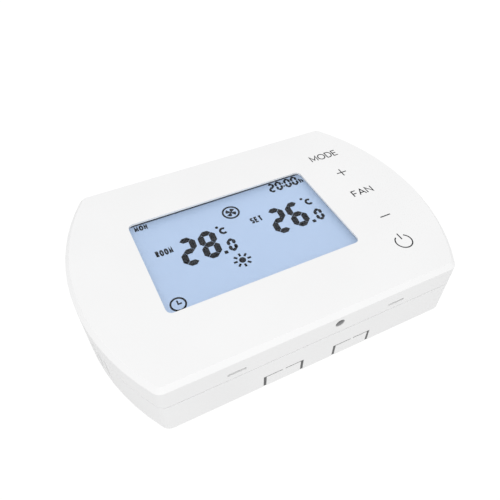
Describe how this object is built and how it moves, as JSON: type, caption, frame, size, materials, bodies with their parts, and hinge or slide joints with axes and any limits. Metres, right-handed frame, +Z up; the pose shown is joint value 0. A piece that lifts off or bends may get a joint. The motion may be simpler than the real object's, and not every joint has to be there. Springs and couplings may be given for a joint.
{
  "type": "wall thermostat",
  "caption": "White wall thermostat for a fan coil: bowed rectangular housing with a display window, touch keys, power board and a hook-over front cover.",
  "frame": {"origin": "centre of the flat back face, on the wall plane, midway across and midway up the housing", "axes": "+Z up as it hangs, +X to the right seen from the room, +Y into the wall; the face looks along -Y"},
  "size_m": [0.13, 0.0233, 0.088],
  "materials": {
    "housing_plastic": "satin white moulding",
    "lens_clear": "clear window",
    "display_glass": "polished",
    "light_guide_acrylic": "frosted white",
    "contact_rubber": "matt",
    "circuit_board": "solder mask",
    "contact_spring": "gold plated",
    "zinc_screw": "zinc plated",
    "bright_steel": "nickel plated",
    "relay_blue": "moulded case",
    "film_yellow": "boxed capacitor",
    "varistor_blue": "epoxy coated",
    "capacitor_sleeve": "shrink sleeve",
    "terminal_green": "moulded",
    "black_moulding": "moulded"
  },
  "bodies": {
    "base": {"rear_base": "housing_plastic", "power_board": "circuit_board", "power_board_screw_1": "zinc_screw", "power_board_screw_2": "zinc_screw", "power_board_screw_3": "zinc_screw", "power_board_screw_4": "zinc_screw", "relay_1": "relay_blue", "relay_2": "relay_blue", "relay_3": "relay_blue", "relay_4": "relay_blue", "power_module": "black_moulding", "storage_capacitor_1": "capacitor_sleeve", "storage_capacitor_2": "capacitor_sleeve", "film_capacitor": "film_yellow", "varistor": "varistor_blue", "fuse": "black_moulding", "header_socket": "black_moulding", "terminal_block_left": "terminal_green", "terminal_block_right": "terminal_green"},
    "cover": {"front_cover": "housing_plastic", "display_lens": "lens_clear", "display_front_glass": "display_glass", "display_rear_glass": "display_glass", "light_guide": "light_guide_acrylic", "backlight_lamp_left": "light_guide_acrylic", "backlight_lamp_right": "light_guide_acrylic", "contact_strip": "contact_rubber", "display_frame": "housing_plastic", "display_board": "circuit_board", "touch_spring_mode": "contact_spring", "touch_spring_plus": "contact_spring", "touch_spring_fan": "contact_spring", "touch_spring_minus": "contact_spring", "touch_spring_power": "contact_spring", "display_board_screw_1": "zinc_screw", "display_board_screw_2": "zinc_screw", "display_board_screw_3": "zinc_screw", "display_board_screw_4": "zinc_screw", "microcontroller": "black_moulding", "clock_cell": "bright_steel", "clock_cell_holder": "black_moulding", "room_sensor": "black_moulding", "pin_header": "black_moulding"},
    "latch_left": {"release_latch_left": "housing_plastic"},
    "latch_right": {"release_latch_right": "housing_plastic"},
    "lock_washer_body": {"lock_washer": "bright_steel"},
    "lock_screw_body": {"lock_screw": "zinc_screw"},
    "clamp_left_1": {"wire_clamp_left_1": "bright_steel"},
    "screw_left_1": {"terminal_screw_left_1": "zinc_screw"},
    "clamp_left_2": {"wire_clamp_left_2": "bright_steel"},
    "screw_left_2": {"terminal_screw_left_2": "zinc_screw"},
    "clamp_left_3": {"wire_clamp_left_3": "bright_steel"},
    "screw_left_3": {"terminal_screw_left_3": "zinc_screw"},
    "clamp_right_1": {"wire_clamp_right_1": "bright_steel"},
    "screw_right_1": {"terminal_screw_right_1": "zinc_screw"},
    "clamp_right_2": {"wire_clamp_right_2": "bright_steel"},
    "screw_right_2": {"terminal_screw_right_2": "zinc_screw"},
    "clamp_right_3": {"wire_clamp_right_3": "bright_steel"},
    "screw_right_3": {"terminal_screw_right_3": "zinc_screw"}
  },
  "joints": [
    {"name": "cover_swing", "type": "hinge", "parent": "base", "child": "cover", "pos_m": [0, -0.01375, 0.044], "axis": [-1, 0, 0], "range_deg": [0, 50]},
    {"name": "latch_left_flex", "type": "hinge", "parent": "base", "child": "latch_left", "pos_m": [-0.0283, -0.0033, -0.0403], "axis": [-1, 0, 0], "range_deg": [0, 5], "stiffness_Nm_per_rad": 1.5},
    {"name": "latch_right_flex", "type": "hinge", "parent": "base", "child": "latch_right", "pos_m": [0.0283, -0.0033, -0.0403], "axis": [-1, 0, 0], "range_deg": [0, 5], "stiffness_Nm_per_rad": 1.5},
    {"name": "lock_feed", "type": "slide", "parent": "cover", "child": "lock_washer_body", "axis": [0, 0, 1], "range_m": [0, 0.004]},
    {"name": "lock_turn", "type": "hinge", "parent": "lock_washer_body", "child": "lock_screw_body", "pos_m": [0.00665, -0.0186, -0.0409], "axis": [0, 0, 1], "range_deg": [0, 1803]},
    {"name": "screw_left_1_turn", "type": "hinge", "parent": "base", "child": "screw_left_1", "pos_m": [-0.02908, -0.013, -0.016], "axis": [0, 1, 0], "range_deg": [0, 1603]},
    {"name": "clamp_left_1_rise", "type": "slide", "parent": "base", "child": "clamp_left_1", "axis": [0, -1, 0], "range_m": [0, 0.002]},
    {"name": "screw_left_2_turn", "type": "hinge", "parent": "base", "child": "screw_left_2", "pos_m": [-0.024, -0.013, -0.016], "axis": [0, 1, 0], "range_deg": [0, 1603]},
    {"name": "clamp_left_2_rise", "type": "slide", "parent": "base", "child": "clamp_left_2", "axis": [0, -1, 0], "range_m": [0, 0.002]},
    {"name": "screw_left_3_turn", "type": "hinge", "parent": "base", "child": "screw_left_3", "pos_m": [-0.01892, -0.013, -0.016], "axis": [0, 1, 0], "range_deg": [0, 1603]},
    {"name": "clamp_left_3_rise", "type": "slide", "parent": "base", "child": "clamp_left_3", "axis": [0, -1, 0], "range_m": [0, 0.002]},
    {"name": "screw_right_1_turn", "type": "hinge", "parent": "base", "child": "screw_right_1", "pos_m": [0.01892, -0.013, -0.016], "axis": [0, 1, 0], "range_deg": [0, 1603]},
    {"name": "clamp_right_1_rise", "type": "slide", "parent": "base", "child": "clamp_right_1", "axis": [0, -1, 0], "range_m": [0, 0.002]},
    {"name": "screw_right_2_turn", "type": "hinge", "parent": "base", "child": "screw_right_2", "pos_m": [0.024, -0.013, -0.016], "axis": [0, 1, 0], "range_deg": [0, 1603]},
    {"name": "clamp_right_2_rise", "type": "slide", "parent": "base", "child": "clamp_right_2", "axis": [0, -1, 0], "range_m": [0, 0.002]},
    {"name": "screw_right_3_turn", "type": "hinge", "parent": "base", "child": "screw_right_3", "pos_m": [0.02908, -0.013, -0.016], "axis": [0, 1, 0], "range_deg": [0, 1603]},
    {"name": "clamp_right_3_rise", "type": "slide", "parent": "base", "child": "clamp_right_3", "axis": [0, -1, 0], "range_m": [0, 0.002]}
  ],
  "couplings": [
    {"joint": "lock_turn", "follows": "lock_feed", "rad_per_m": 7854},
    {"joint": "screw_left_1_turn", "follows": "clamp_left_1_rise", "rad_per_m": 13963},
    {"joint": "screw_left_2_turn", "follows": "clamp_left_2_rise", "rad_per_m": 13963},
    {"joint": "screw_left_3_turn", "follows": "clamp_left_3_rise", "rad_per_m": 13963},
    {"joint": "screw_right_1_turn", "follows": "clamp_right_1_rise", "rad_per_m": 13963},
    {"joint": "screw_right_2_turn", "follows": "clamp_right_2_rise", "rad_per_m": 13963},
    {"joint": "screw_right_3_turn", "follows": "clamp_right_3_rise", "rad_per_m": 13963}
  ]
}
